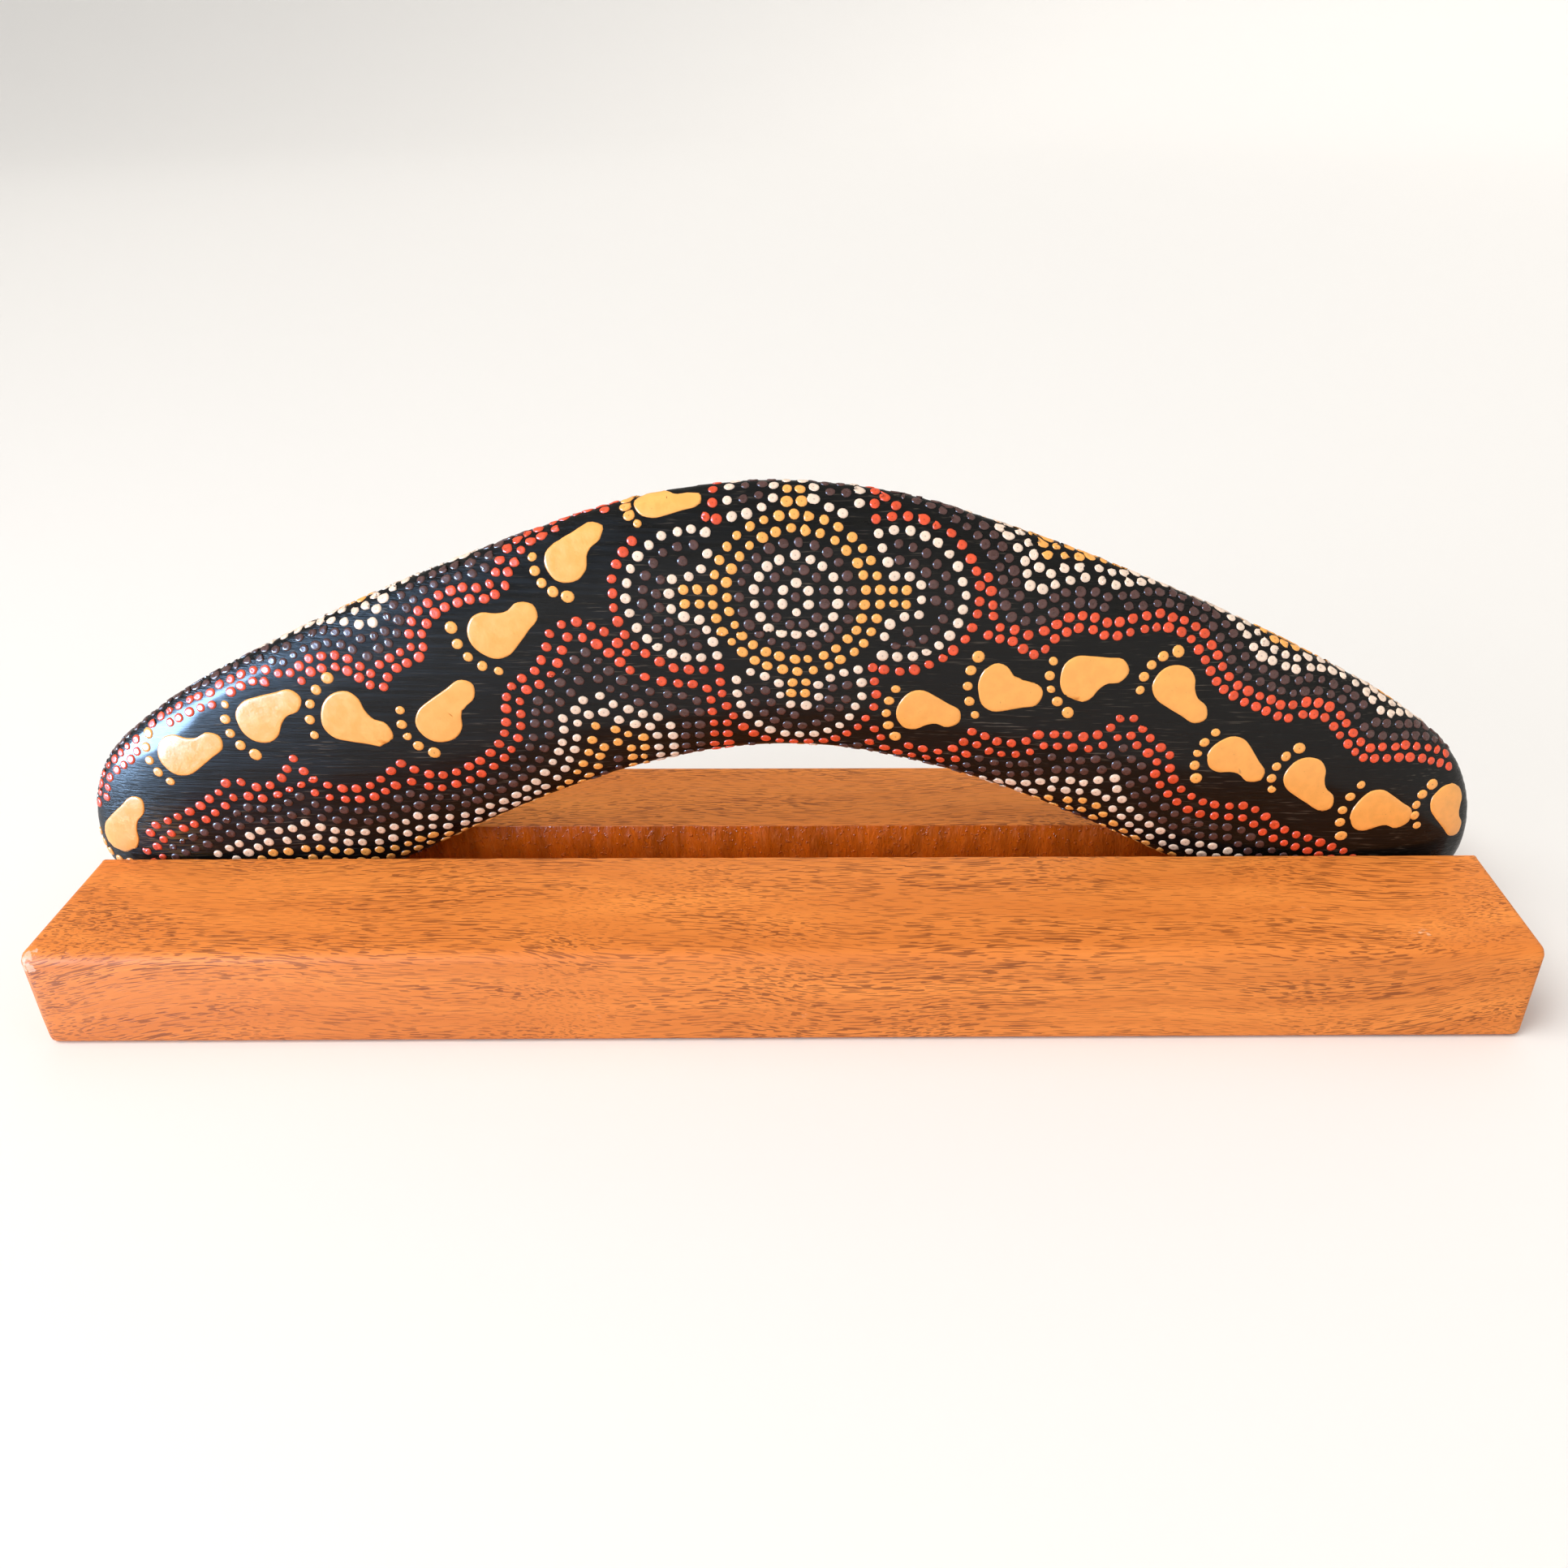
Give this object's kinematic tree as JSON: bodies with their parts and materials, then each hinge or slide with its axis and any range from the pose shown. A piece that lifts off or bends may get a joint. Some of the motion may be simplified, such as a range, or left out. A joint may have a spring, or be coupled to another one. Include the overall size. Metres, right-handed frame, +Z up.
{
  "type": "boomerang on a display block",
  "caption": "Broad bow-shaped wooden boomerang with an oval section and dotted paint, standing on edge in the groove of a plain wooden display block.",
  "frame": {"origin": "middle of the display block's underside, on the surface that it stands on", "axes": "+X along the block and the boomerang's span, +Y from the block's front to its back, +Z up, the way the boomerang lifts out"},
  "size_m": [0.4046, 0.1, 0.1395],
  "materials": {
    "black_paint": "timber painted black under a satin lacquer, fine grain showing through",
    "stand_wood": "red-brown hardwood under a satin lacquer, short dark pores along the length",
    "red_paint": "raised dots of acrylic paint, satin",
    "white_paint": "raised dots of acrylic paint, satin",
    "ochre_paint": "raised dots and footprints of acrylic paint, satin",
    "brown_paint": "raised dots of acrylic paint, satin"
  },
  "bodies": {
    "stand": {"stand_block": "stand_wood"},
    "boomerang": {"boomerang": "black_paint"}
  },
  "joints": [
    {"name": "boomerang_lift", "type": "slide", "parent": "stand", "child": "boomerang", "axis": [0, 0, 1], "range_m": [0, 0.06]}
  ]
}
